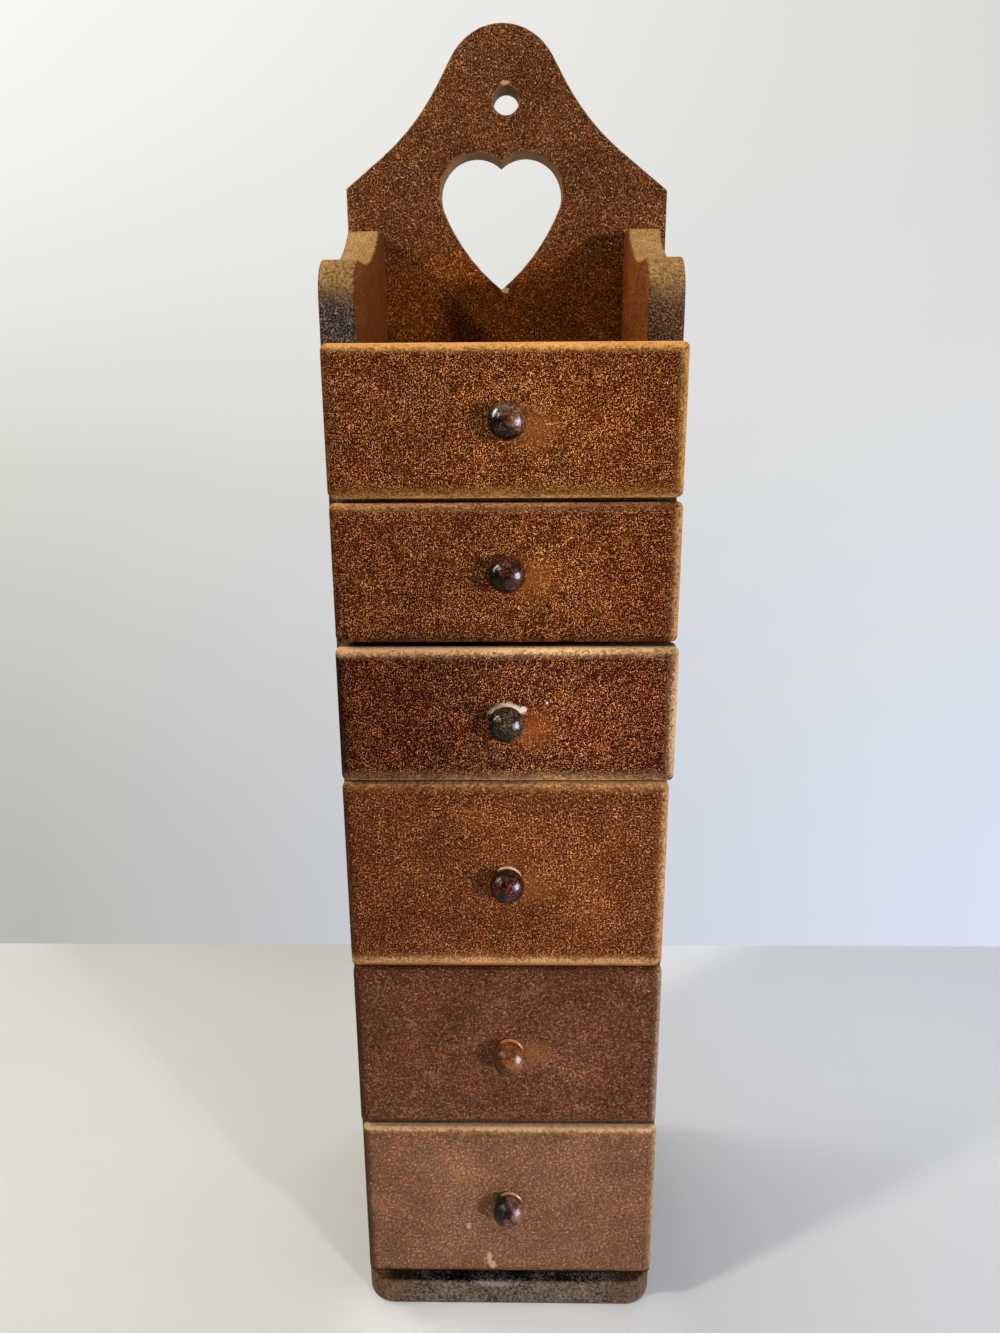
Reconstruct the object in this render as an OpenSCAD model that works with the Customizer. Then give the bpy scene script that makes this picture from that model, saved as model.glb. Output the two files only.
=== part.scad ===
// Spice cabinet: a tall narrow case of half-inch board with six overlay drawers, an open tray
// on top between two scroll-cut cheeks, and a bell-shaped back board that hangs on a nail.
// Millimetres, +Z up. The drawers face -Y. The origin is the centre of the footprint.

/* [Case] */
// Width over the two side boards
carcass_w = 128; // [112:0.5:134]
// Sideways place of the case in front of the back board
case_x = -1.1; // [-1.5:0.1:1.5]
// Depth of the side boards, from their front edge to the back board
side_d = 92; // [84:0.5:120]
// Thickness of each side board
side_t = 12.7; // [10.5:0.1:15]
// Thickness of the dividers and of the tray floor
shelf_t = 6.35; // [4.5:0.05:8]
// Depth of the dadoes that hold the dividers
dado_d = 4; // [2:0.25:4.5]

/* [Base] */
// Width of the base board
base_w = 130.6; // [112:0.2:135]
// Thickness of the base board
base_t = 12.7; // [8:0.1:20]
// Radius of the base board's two front corners
base_corner_r = 12.5; // [4:0.5:20]
// How far the base stands back from the drawer faces
base_setback = 4.5; // [0:0.5:10]

/* [Back board] */
// Width of the back board
back_w = 135.6; // [128:0.2:160]
// Thickness of the back board
back_t = 16; // [10:0.5:20]
// Height of the back board, the whole height of the cabinet
back_h = 550.3; // [545:0.1:600]
// Height at which the sloping shoulders meet the straight edges
shoulder_z = 488.4; // [480:0.1:495]
// How much higher the left shoulder ends than the right one, which are sawn by eye
shoulder_skew = 1.6; // [-3:0.1:3]
// Radius of the round cap on the crown
cap_r = 24.2; // [20:0.2:30]
// Sideways place of the cap, which is sawn by eye
cap_x = -1.6; // [-4:0.1:4]
// Angle of the flanks under the cap, above level
flank_angle = 60; // [56:0.5:66]
// Angle of the shoulders, above level
slope_angle = 37.5; // [34:0.5:42]
// Radius of the coves between the flanks and the shoulders
cove_r = 95; // [40:1:110]

/* [Hanging hole] */
// Diameter of the hanging hole
hang_d = 11; // [5:0.1:14]
// Height of the hanging hole's centre
hang_z = 522.1; // [514:0.1:530]

/* [Heart cut-out] */
// Height of the tops of the heart's lobes
heart_top_z = 502.8; // [495:0.1:505]
// Height of the heart's tip
heart_tip_z = 448.7; // [440:0.1:460]
// Radius of each lobe
lobe_r = 15.6; // [13:0.1:18]
// Distance from the heart's middle line to each lobe's centre
lobe_x = 10.4; // [8:0.1:12]
// Radius of the heart's two long sides
heart_side_r = 78; // [60:1:150]
// Sideways place of the heart, which is sawn by eye
heart_x = -2.2; // [-4:0.1:4]

/* [Scroll-cut cheeks] */
// Height of the cheeks where they meet the back board
cheek_z = 470.4; // [462:0.1:480]
// Height of the ledge behind the nose
ledge_z = 453.4; // [446:0.1:456]
// Radius of the round nose at the front
nose_r = 14.5; // [5:0.5:20]
// Length of the level ledge
ledge_l = 10.5; // [0.5:0.5:16]
// Radius of the hollow that rises from the ledge
scroll_r = 80; // [60:1:95]
// Radius of the brow that ends the hollow
brow_r = 4; // [1:0.5:12]

/* [Drawer fronts, listed from the top one down] */
// Height of each front
front_h = [52.8, 51.3, 53.2, 80.7, 76.3, 78.9];
// Gap under each front, the last one over the base board
front_gap = [2, 2.3, 1.2, 1.4, 2.1, 9.1];
// Width of each front
front_w = [127, 127, 128.4, 127, 127, 127];
// Sideways place of each front, as it was fitted by hand
front_x = [0, 0.2, 0.4, -0.4, 0, 0.6];
// Thickness of the fronts
front_t = 12.7; // [11:0.1:18]
// Radius of the rounded edges around each face
front_round = 4.5; // [1:0.1:8]
// Radius of each front's corners, seen from the front
front_corner_r = 2; // [0.5:0.1:4]
// Height by which the top front stands over the tray floor
tray_lip = 2; // [0.5:0.1:6]
// Height by which the bottom shelf stands behind the bottom front
shelf_lap = 2.2; // [1:0.1:5]

/* [Drawer boxes] */
// Thickness of the box sides and of the box back
box_t = 6.35; // [5:0.05:8]
// Thickness of the drawer bottoms
bottom_t = 3.2; // [2.5:0.1:4.5]
// Depth of the grooves that hold the bottoms
groove_d = 3; // [1.5:0.1:3.5]
// Height of the grooves over the lower edge of the sides
groove_rise = 3; // [2:0.1:6]
// Depth to which the box sides are let into the fronts
housing_d = 4; // [2:0.1:4.5]
// Free space beside each box
side_gap = 0.8; // [0.4:0.1:2]
// Free space over each box
head_gap = 1.5; // [0.6:0.1:4]
// Free space behind each box
rear_gap = 4; // [1:0.5:12]

/* [Knobs] */
// Diameter of the ball
knob_d = 13.5; // [11:0.1:18]
// How far the knob stands out from the drawer face
knob_reach = 12.4; // [11:0.1:20]
// Diameter of the foot that seats on the face
knob_foot_d = 12; // [9:0.1:16]
// Thickness of the foot
knob_foot_t = 1.6; // [0.8:0.1:2.5]
// Diameter of the tenon glued in the front
tenon_d = 6.35; // [4:0.05:8]
// Length of the tenon
tenon_l = 9; // [5:0.5:9]
// Height of each knob over the middle of its front, from the top drawer down
knob_rise = [0.8, 1.4, -0.7, 0.4, 0.6, 1.7];
// Sideways place of each knob
knob_x = [0.9, 0.7, 0.2, 0.2, 0.7, 0.3];

/* [Nails] */
// Diameter of the nail shanks
nail_d = 1.6; // [1:0.1:1.8]
// Diameter of the nail heads
nail_head_d = 3.4; // [2.5:0.1:5]
// Thickness of the nail heads
nail_head_t = 1; // [0.6:0.1:2]
// Depth to which a nail bites into the board behind
nail_bite = 14; // [8:0.5:20]
// Number of nails into each side board through the back
back_nail_n = 4; // [2:1:6]
// Diameter of the brads in the drawer boxes
brad_d = 1.2; // [0.8:0.1:1.4]
// Diameter of the brad heads
brad_head_d = 2.2; // [1.8:0.1:3]
// Thickness of the brad heads
brad_head_t = 0.6; // [0.4:0.1:1]
// Depth to which a brad bites into the board behind
brad_bite = 8; // [5:0.5:12]

/* [Fits] */
// Running clearance under each drawer box and behind each front
run_gap = 0.3; // [0.2:0.05:0.6]
// Clearance of glued joints, on each side
glue_gap = 0.05; // [0.02:0.01:0.15]
// Clearance around nails and brads, on the radius
nail_gap = 0.02; // [0.01:0.01:0.05]

/* [Hidden] */
$fn = 96;
DRAWERS = len(front_h);
// Over-run of cutters past the faces that they open
cut = 1;

// Places along Y, from the knobs' tips back to the wall face
total_d = knob_reach + front_t + run_gap + side_d + back_t;
face_y = knob_reach - total_d / 2;
front_back_y = face_y + front_t;
side_y = front_back_y + run_gap;
back_y = side_y + side_d;
wall_y = back_y + back_t;

// Widths inside the case and of the boxes that run in it
bay_w = carcass_w - 2 * side_t;
box_w = bay_w - 2 * side_gap;
box_inner_w = box_w - 2 * box_t;
box_l = side_d + run_gap - rear_gap;
box_end_y = front_back_y + box_l;

// Height of the shelf that fills the gap between the base and the lowest bay
bottom_shelf_t = front_gap[DRAWERS - 1] + shelf_lap;

// Ball of the knob: distance of its centre from the drawer face
knob_r = knob_d / 2;
knob_y = knob_reach - knob_r;

// Heights of the drawer stack, with drawer 0 on top
function front_z(i) = base_t + front_gap[i]
    + (i == DRAWERS - 1 ? 0 : front_z(i + 1) - base_t + front_h[i + 1]);
function front_top(i) = front_z(i) + front_h[i];
function divider_z(i) = front_z(i) - (front_gap[i] + shelf_t) / 2;
function bay_z(i) = i == DRAWERS - 1 ? base_t + bottom_shelf_t : divider_z(i) + shelf_t;
function bay_top(i) = i == 0 ? tray_z : divider_z(i - 1);
function box_z(i) = bay_z(i) + run_gap;
function box_h(i) = bay_top(i) - head_gap - box_z(i);
function knob_z(i) = front_z(i) + front_h[i] / 2 + knob_rise[i];
tray_z = front_top(0) - tray_lip - shelf_t;

// Crown: foot of the cap's arc, and where the flank line meets the shoulder line,
// worked out for the half that reaches from the cap's centre to half the board's width, with
// the cap's sideways offset and the height at which that half's shoulder ends
cap_z = back_h - cap_r;
cap_foot_x = cap_r * sin(flank_angle);
cap_foot_z = cap_z + cap_r * cos(flank_angle);
function knee_x(offset, end_z) = (cap_foot_z - end_z + (cap_foot_x + offset) * tan(flank_angle)
    - back_w / 2 * tan(slope_angle)) / (tan(flank_angle) - tan(slope_angle));
function knee_z(offset, end_z) = end_z + (back_w / 2 - knee_x(offset, end_z)) * tan(slope_angle);
function flank_l(offset, end_z) = norm([knee_x(offset, end_z) - cap_foot_x - offset,
    cap_foot_z - knee_z(offset, end_z)]);
function cove_reach(offset, end_z) = min(cove_r * tan((flank_angle - slope_angle) / 2),
    flank_l(offset, end_z));

// Heart: centre of the long side's arc, which runs through the tip and is tangent to the lobe
lobe_z = heart_top_z - lobe_r;
tip_to_lobe = norm([lobe_x, lobe_z - heart_tip_z]);
lobe_to_centre = heart_side_r - lobe_r;
side_along = (pow(heart_side_r, 2) - pow(lobe_to_centre, 2) + pow(tip_to_lobe, 2))
    / (2 * tip_to_lobe);
side_across = sqrt(pow(heart_side_r, 2) - pow(side_along, 2));
lobe_dir = [lobe_x, lobe_z - heart_tip_z] / tip_to_lobe;
side_centre_x = side_along * lobe_dir[0] - side_across * lobe_dir[1];
side_centre_z = heart_tip_z + side_along * lobe_dir[1] + side_across * lobe_dir[0];
tangent_z = lobe_z + lobe_r * (lobe_z - side_centre_z) / lobe_to_centre;

// Scroll: sweep of the hollow and of the brow, and where they meet
scroll_angle = acos(1 - (cheek_z - ledge_z) / (scroll_r + brow_r));
scroll_y = nose_r + ledge_l;
meet_y = scroll_y + scroll_r * sin(scroll_angle);
meet_z = ledge_z + scroll_r * (1 - cos(scroll_angle));
brow_y = meet_y + brow_r * sin(scroll_angle);

// Nails
back_nail_z = [for (k = [0 : back_nail_n - 1])
    base_t + (cheek_z - base_t) * (k + 0.5) / back_nail_n];
side_nail_x = (carcass_w - side_t) / 2;
rear_nail_x = carcass_w / 4;
// Middle of what side s has on the base board, measured from the case's middle
function base_nail_x(s) = s * (bay_w / 2 + min(carcass_w / 2, base_w / 2 - s * case_x)) / 2;
base_nail_y = [side_y + side_d / 4, side_y + side_d * 3 / 4];
brad_y = box_end_y - box_t / 2;
brad_x = box_inner_w / 4;

// Lays an outline drawn in X and Z upright, from y to y + t
module upright(y, t) {
    translate([0, y + t, 0])
        rotate([90, 0, 0])
            linear_extrude(t)
                children();
}

// Lays an outline drawn in Y and Z on edge, from x to x + t
module on_edge(x, t) {
    translate([x, 0, 0])
        rotate([90, 0, 90])
            linear_extrude(t)
                children();
}

// One sloping half of the crown: a straight flank, a cove and a straight shoulder
module crown_half(offset, end_z) {
    kx = knee_x(offset, end_z);
    kz = knee_z(offset, end_z);
    reach = cove_reach(offset, end_z);
    r = reach / tan((flank_angle - slope_angle) / 2);
    start = [kx - reach * cos(flank_angle), kz + reach * sin(flank_angle)];
    end = [kx + reach * cos(slope_angle), kz - reach * sin(slope_angle)];
    centre = start + r * [sin(flank_angle), cos(flank_angle)];
    difference() {
        polygon([[0, 0], [back_w / 2, 0], [back_w / 2, end_z], end, start,
            [cap_foot_x + offset, cap_foot_z], [offset, cap_z], [0, cap_z]]);
        intersection() {
            translate(centre) circle(r, $fn = 360);
            polygon([start, end, [kx, kz]]);
        }
    }
}

module crown_outline() {
    crown_half(cap_x, shoulder_z - shoulder_skew / 2);
    mirror([1, 0]) crown_half(-cap_x, shoulder_z + shoulder_skew / 2);
    translate([cap_x, cap_z]) circle(cap_r);
}

module heart_outline() {
    for (s = [-1, 1])
        translate([s * lobe_x, lobe_z]) circle(lobe_r);
    intersection() {
        heart_lens();
        translate([-heart_side_r, heart_tip_z - cut])
            square([2 * heart_side_r, tangent_z - heart_tip_z + cut]);
    }
}

// The lens between the heart's two long arcs
module heart_lens() {
    intersection() {
        translate([side_centre_x, side_centre_z]) circle(heart_side_r, $fn = 360);
        translate([-side_centre_x, side_centre_z]) circle(heart_side_r, $fn = 360);
    }
}

module nail(length) {
    cylinder(h = nail_head_t, d = nail_head_d);
    cylinder(h = length, d = nail_d);
}

module nail_hole(length) {
    translate([0, 0, -cut]) cylinder(h = nail_head_t + nail_gap + cut, d = nail_head_d + 2 * nail_gap);
    translate([0, 0, -cut]) cylinder(h = length + nail_gap + cut, d = nail_d + 2 * nail_gap);
}

// Stands its child at each nail that is driven through the back board, pointing forward
module at_back_nails() {
    for (s = [-1, 1], z = back_nail_z)
        translate([case_x + s * side_nail_x, wall_y, z]) rotate([90, 0, 0]) children();
    for (s = [-1, 1])
        translate([case_x + s * rear_nail_x, wall_y, base_t / 2]) rotate([90, 0, 0]) children();
}

// Stands its child at each nail that is driven up through the base board
module at_base_nails() {
    for (s = [-1, 1], y = base_nail_y)
        translate([case_x + base_nail_x(s), y, 0]) children();
}

module back_board() {
    color([0.33, 0.17, 0.10])
        difference() {
            upright(back_y, back_t) difference() {
                crown_outline();
                translate([heart_x, 0]) heart_outline();
                translate([0, hang_z]) circle(d = hang_d);
            }
            at_back_nails() nail_hole(back_t + nail_bite);
        }
}

// Outline of a side board, with Y from its front edge
module side_outline() {
    difference() {
        polygon([[0, base_t], [side_d, base_t], [side_d, cheek_z], [brow_y, cheek_z],
            [meet_y, meet_z], [scroll_y, ledge_z], [nose_r, ledge_z], [0, ledge_z - nose_r]]);
        translate([scroll_y, ledge_z + scroll_r]) circle(scroll_r, $fn = 360);
    }
    translate([nose_r, ledge_z - nose_r]) circle(nose_r);
    translate([brow_y, cheek_z - brow_r]) circle(brow_r);
}

module side_board(s) {
    inner_x = case_x + s * bay_w / 2;
    color([0.30, 0.17, 0.11])
        difference() {
            on_edge(inner_x + (s < 0 ? -side_t : 0), side_t)
                translate([side_y, 0]) side_outline();
            for (i = [0 : DRAWERS - 2])
                dado(inner_x, divider_z(i));
            dado(inner_x, tray_z);
            at_back_nails() nail_hole(back_t + nail_bite);
            at_base_nails() nail_hole(base_t + nail_bite);
        }
}

// A dado across the inner face of a side board
module dado(x, z) {
    translate([x - dado_d, side_y - cut, z - glue_gap])
        cube([2 * dado_d, side_d + 2 * cut, shelf_t + 2 * glue_gap]);
}

module base_board() {
    base_y = face_y + base_setback;
    color([0.34, 0.27, 0.21])
        difference() {
            linear_extrude(base_t) {
                translate([-base_w / 2, base_y + base_corner_r])
                    square([base_w, back_y - base_y - base_corner_r]);
                translate([base_corner_r - base_w / 2, base_y])
                    square([base_w - 2 * base_corner_r, base_corner_r]);
                for (s = [-1, 1])
                    translate([s * (base_w / 2 - base_corner_r), base_y + base_corner_r])
                        circle(base_corner_r);
            }
            at_back_nails() nail_hole(back_t + nail_bite);
            at_base_nails() nail_hole(base_t + nail_bite);
        }
}

module bottom_shelf() {
    color([0.40, 0.25, 0.16])
        translate([case_x - bay_w / 2, side_y, base_t])
            cube([bay_w, side_d, bottom_shelf_t]);
}

// A thin board let into the dadoes of both sides
module shelf(z) {
    w = bay_w + 2 * (dado_d - glue_gap);
    color([0.40, 0.25, 0.16])
        translate([case_x - w / 2, side_y, z])
            cube([w, side_d, shelf_t]);
}

module back_nails() {
    color([0.36, 0.35, 0.34])
        at_back_nails() nail(back_t + nail_bite);
}

module base_nails() {
    color([0.36, 0.35, 0.34])
        at_base_nails() nail(base_t + nail_bite);
}

// A board whose face edges are rounded over, with its back at front_back_y
module rounded_front(w, h) {
    intersection() {
        on_edge(-w / 2, w) translate([face_y, 0]) rounded_section(h);
        translate([0, face_y, 0]) linear_extrude(h)
            translate([-w / 2, 0]) mirror([1, -1]) rounded_section(w);
        upright(face_y, front_t) rounded_rect(w, h);
    }
}

// Section through a front: front_t deep and h long, with both corners rounded at the face
module rounded_section(h) {
    translate([front_round, 0]) square([front_t - front_round, h]);
    translate([0, front_round]) square([front_round + cut, h - 2 * front_round]);
    for (z = [front_round, h - front_round])
        translate([front_round, z]) circle(front_round);
}

module rounded_rect(w, h) {
    r = front_corner_r;
    translate([-w / 2, r]) square([w, h - 2 * r]);
    translate([r - w / 2, 0]) square([w - 2 * r, h]);
    for (x = [r - w / 2, w / 2 - r], z = [r, h - r])
        translate([x, z]) circle(r);
}

module drawer_front(i) {
    color([0.47, 0.29, 0.18])
        difference() {
            translate([front_x[i], 0, front_z(i)]) rounded_front(front_w[i], front_h[i]);
            for (s = [-1, 1])
                translate([case_x + s * (box_w - box_t) / 2, front_back_y, box_z(i) + box_h(i) / 2])
                    cube([box_t + 2 * glue_gap, 2 * housing_d, box_h(i) + 2 * glue_gap],
                        center = true);
            translate([case_x - box_inner_w / 2, front_back_y - groove_d, groove_z(i) - glue_gap])
                cube([box_inner_w, groove_d + cut, bottom_t + 2 * glue_gap]);
            translate([knob_x[i], face_y - cut, knob_z(i)]) rotate([-90, 0, 0])
                cylinder(h = tenon_l + glue_gap + cut, d = tenon_d + 2 * glue_gap);
        }
}

function groove_z(i) = box_z(i) + groove_rise;
function back_z(i) = groove_z(i) + bottom_t;
function back_height(i) = box_z(i) + box_h(i) - back_z(i);

module brad(length) {
    cylinder(h = brad_head_t, d = brad_head_d);
    cylinder(h = length, d = brad_d);
}

module brad_hole(length) {
    translate([0, 0, -cut]) cylinder(h = brad_head_t + nail_gap + cut, d = brad_head_d + 2 * nail_gap);
    translate([0, 0, -cut]) cylinder(h = length + nail_gap + cut, d = brad_d + 2 * nail_gap);
}

// Stands its child at each brad driven through a box side into the box back
module at_side_brads(i) {
    for (s = [-1, 1], part = [1 / 4, 3 / 4])
        translate([case_x + s * box_w / 2, brad_y, back_z(i) + back_height(i) * part])
            rotate([0, -s * 90, 0]) children();
}

// Stands its child at each brad driven up through the bottom into the box back
module at_bottom_brads(i) {
    for (s = [-1, 1])
        translate([case_x + s * brad_x, brad_y, groove_z(i)]) children();
}

module drawer_side(i, s) {
    length = box_l + housing_d;
    color([0.52, 0.36, 0.22])
        difference() {
            translate([case_x + s * (box_w - box_t) / 2, box_end_y - length / 2,
                box_z(i) + box_h(i) / 2])
                cube([box_t, length, box_h(i)], center = true);
            translate([case_x + s * box_inner_w / 2 - groove_d, box_end_y - length - cut,
                groove_z(i) - glue_gap])
                cube([2 * groove_d, length + 2 * cut, bottom_t + 2 * glue_gap]);
            at_side_brads(i) brad_hole(box_t + brad_bite);
        }
}

module drawer_back(i) {
    color([0.52, 0.36, 0.22])
        difference() {
            translate([case_x - box_inner_w / 2, box_end_y - box_t, back_z(i)])
                cube([box_inner_w, box_t, back_height(i)]);
            at_side_brads(i) brad_hole(box_t + brad_bite);
            at_bottom_brads(i) brad_hole(bottom_t + brad_bite);
        }
}

// The bottom slides in from behind under the box back, and ends in the front's groove
module drawer_bottom(i) {
    w = box_inner_w + 2 * (groove_d - glue_gap);
    reach = groove_d - glue_gap;
    color([0.45, 0.30, 0.19])
        difference() {
            union() {
                translate([case_x - w / 2, front_back_y, groove_z(i)]) cube([w, box_l, bottom_t]);
                translate([case_x + glue_gap - box_inner_w / 2, front_back_y - reach, groove_z(i)])
                    cube([box_inner_w - 2 * glue_gap, reach + cut, bottom_t]);
            }
            at_bottom_brads(i) brad_hole(bottom_t + brad_bite);
        }
}

module drawer_brads(i) {
    color([0.36, 0.35, 0.34]) {
        at_side_brads(i) brad(box_t + brad_bite);
        at_bottom_brads(i) brad(bottom_t + brad_bite);
    }
}

// A turned ball on a thin foot, with a tenon behind
module drawer_knob(i) {
    color([0.12, 0.08, 0.07])
        translate([knob_x[i], face_y, knob_z(i)]) rotate([90, 0, 0])
            rotate_extrude()
                knob_outline();
}

module knob_outline() {
    edge_r = knob_foot_t / 2;
    intersection() {
        translate([0, knob_y]) circle(knob_r);
        square([knob_d, knob_reach]);
    }
    square([knob_foot_d / 2 - edge_r, knob_foot_t]);
    translate([knob_foot_d / 2 - edge_r, edge_r]) circle(edge_r);
    translate([0, -tenon_l]) square([tenon_d / 2, tenon_l + cut]);
}

back_board();
side_board(-1);  // side_left
side_board(1);  // side_right
base_board();
bottom_shelf();
shelf(tray_z);  // tray_floor
for (i = [1 : DRAWERS - 1])
    shelf(divider_z(i - 1));
back_nails();
base_nails();
for (i = [0 : DRAWERS - 1]) {
    name = str("drawer_", i + 1, "_");
    drawer_front(i);
    drawer_side(i, -1);
    drawer_side(i, 1);
    drawer_back(i);
    drawer_bottom(i);
    drawer_knob(i);
    drawer_brads(i);
}
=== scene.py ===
import bpy
import bmesh
import math
from mathutils import Matrix, Vector


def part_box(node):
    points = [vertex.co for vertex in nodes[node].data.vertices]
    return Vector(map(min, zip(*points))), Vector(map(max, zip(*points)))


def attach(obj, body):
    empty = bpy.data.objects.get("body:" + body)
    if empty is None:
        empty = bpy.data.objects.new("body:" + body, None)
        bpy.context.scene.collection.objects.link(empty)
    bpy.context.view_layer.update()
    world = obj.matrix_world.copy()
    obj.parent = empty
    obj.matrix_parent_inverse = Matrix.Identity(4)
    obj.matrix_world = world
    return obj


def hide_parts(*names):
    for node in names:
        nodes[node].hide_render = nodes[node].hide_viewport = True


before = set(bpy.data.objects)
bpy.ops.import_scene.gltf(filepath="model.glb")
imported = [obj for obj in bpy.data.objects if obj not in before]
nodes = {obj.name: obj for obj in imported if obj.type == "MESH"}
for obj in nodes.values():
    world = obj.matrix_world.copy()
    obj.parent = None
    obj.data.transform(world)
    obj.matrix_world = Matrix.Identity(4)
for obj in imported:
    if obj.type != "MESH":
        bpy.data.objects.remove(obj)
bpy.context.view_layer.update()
scene = bpy.context.scene
scene.view_settings.view_transform = "Standard"
mm = 0.001
tiny = 0.00005
drawerNumbers = range(1, 7)
print("frame loaded,", len(nodes), "nodes")


# Modelling helpers

def selectOnly(piece):
    bpy.ops.object.select_all(action="DESELECT")
    piece.select_set(True)
    bpy.context.view_layer.objects.active = piece


def pickEdges(piece, wanted):
    # goes into edit mode with just the wanted edges selected
    selectOnly(piece)
    bpy.ops.object.mode_set(mode="EDIT")
    bpy.ops.mesh.select_mode(type="EDGE")
    bpy.ops.mesh.select_all(action="DESELECT")
    shape = bmesh.from_edit_mesh(piece.data)
    for edge in shape.edges:
        if wanted(edge):
            edge.select_set(True)
    shape.select_flush_mode()
    bmesh.update_edit_mesh(piece.data)


def pickFaces(piece, wanted):
    selectOnly(piece)
    bpy.ops.object.mode_set(mode="EDIT")
    bpy.ops.mesh.select_mode(type="FACE")
    bpy.ops.mesh.select_all(action="DESELECT")
    shape = bmesh.from_edit_mesh(piece.data)
    for face in shape.faces:
        face.select_set(wanted(face))
    shape.select_flush_mode()
    bmesh.update_edit_mesh(piece.data)


def backToObject():
    bpy.ops.object.mode_set(mode="OBJECT")


def boxPiece(name, low, high):
    bpy.ops.object.select_all(action="DESELECT")
    bpy.ops.mesh.primitive_cube_add(size=1, location=(low + high) / 2)
    piece = bpy.context.object
    piece.name = name
    piece.scale = high - low
    bpy.ops.object.transform_apply(location=True, rotation=True, scale=True)
    return piece


def smoothBy(piece, degrees):
    selectOnly(piece)
    bpy.ops.object.shade_smooth_by_angle(angle=math.radians(degrees))


def finishPiece(piece, body, material, slot, *replaced):
    # hangs the piece on its body in place of the replaced nodes
    piece.data.materials.clear()
    piece.data.materials.append(material)
    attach(piece, body)
    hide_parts(*replaced)


# Material helpers

def paint(red, green, blue):
    def linear(level):
        share = level / 255
        return share / 12.92 if share <= 0.04045 else ((share + 0.055) / 1.055) ** 2.4
    return (linear(red), linear(green), linear(blue), 1)


def startMaterial(name):
    material = bpy.data.materials.new(name)
    material.use_nodes = True
    tree = material.node_tree
    return material, tree, tree.nodes["Principled BSDF"]


def feed(tree, socket, value):
    # a socket is linked, anything else is typed in
    if isinstance(value, bpy.types.NodeSocket):
        tree.links.new(value, socket)
    else:
        socket.default_value = value


def objectCoords(tree, shift=(0, 0, 0)):
    coords = tree.nodes.new("ShaderNodeTexCoord")
    mapping = tree.nodes.new("ShaderNodeMapping")
    tree.links.new(coords.outputs["Object"], mapping.inputs["Vector"])
    mapping.inputs["Location"].default_value = shift
    return mapping.outputs["Vector"]


def noise(tree, vector, scale, detail=2.0, roughness=0.5):
    node = tree.nodes.new("ShaderNodeTexNoise")
    feed(tree, node.inputs["Vector"], vector)
    node.inputs["Scale"].default_value = scale
    node.inputs["Detail"].default_value = detail
    node.inputs["Roughness"].default_value = roughness
    return node.outputs["Fac"]


def calc(tree, operation, first, second=0.0, clamp=False):
    node = tree.nodes.new("ShaderNodeMath")
    node.operation = operation
    node.use_clamp = clamp
    feed(tree, node.inputs[0], first)
    feed(tree, node.inputs[1], second)
    return node.outputs["Value"]


def times(tree, first, second):
    return calc(tree, "MULTIPLY", first, second)


def plus(tree, first, second, clamp=False):
    return calc(tree, "ADD", first, second, clamp)


def minus(tree, first, second):
    return calc(tree, "SUBTRACT", first, second)


def spread(tree, value, low, high, toLow=0.0, toHigh=1.0, soft=False):
    node = tree.nodes.new("ShaderNodeMapRange")
    node.interpolation_type = "SMOOTHSTEP" if soft else "LINEAR"
    feed(tree, node.inputs["Value"], value)
    feed(tree, node.inputs["From Min"], low)
    feed(tree, node.inputs["From Max"], high)
    feed(tree, node.inputs["To Min"], toLow)
    feed(tree, node.inputs["To Max"], toHigh)
    return node.outputs["Result"]


def speckle(tree, place, scale, detail=2.0, limits=(0.3, 0.7), to=(0.0, 1.0), roughness=0.5):
    # noise whose values between the limits are stretched over the range to
    return spread(tree, noise(tree, place, scale, detail, roughness), *limits, *to)


def blendPaint(tree, share, first, second, mode="MIX"):
    node = tree.nodes.new("ShaderNodeMix")
    node.data_type = "RGBA"
    node.blend_type = mode
    feed(tree, node.inputs[0], share)
    feed(tree, node.inputs[6], first)
    feed(tree, node.inputs[7], second)
    return node.outputs[2]


def ramp(tree, value, stops):
    node = tree.nodes.new("ShaderNodeValToRGB")
    while len(node.color_ramp.elements) < len(stops):
        node.color_ramp.elements.new(0.5)
    for element, (place, colour) in zip(node.color_ramp.elements, stops):
        element.position = place
        element.color = paint(*colour)
    feed(tree, node.inputs["Fac"], value)
    return node.outputs["Color"]


def axisOf(tree, axis):
    coords = tree.nodes.new("ShaderNodeTexCoord")
    split = tree.nodes.new("ShaderNodeSeparateXYZ")
    tree.links.new(coords.outputs["Object"], split.inputs["Vector"])
    return split.outputs[axis]


def attribute(tree, name):
    node = tree.nodes.new("ShaderNodeAttribute")
    node.attribute_name = name
    return node.outputs["Fac"]


raggedNoise = {"scale": 900.0, "detail": 3.0, "roughness": 0.6}


def spot(tree, centre, radii, ragged=0.5):
    # how far from centre, counted in radii along X, Y and Z: below 1 is inside, with a ragged edge
    coords = tree.nodes.new("ShaderNodeTexCoord")
    mapping = tree.nodes.new("ShaderNodeMapping")
    mapping.vector_type = "TEXTURE"
    tree.links.new(coords.outputs["Object"], mapping.inputs["Vector"])
    mapping.inputs["Location"].default_value = centre
    mapping.inputs["Scale"].default_value = radii
    length = tree.nodes.new("ShaderNodeVectorMath")
    length.operation = "LENGTH"
    tree.links.new(mapping.outputs["Vector"], length.inputs[0])
    edge = noise(tree, coords.outputs["Object"], **raggedNoise)
    wobble = times(tree, minus(tree, edge, 0.5), ragged * 4)
    return plus(tree, length.outputs["Value"], wobble)


def bumpOn(tree, shader, height, distance, strength=1.0):
    node = tree.nodes.new("ShaderNodeBump")
    node.inputs["Strength"].default_value = strength
    node.inputs["Distance"].default_value = distance
    feed(tree, node.inputs["Height"], height)
    tree.links.new(node.outputs["Normal"], shader.inputs["Normal"])


# Camera, where the photographer stood

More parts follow.
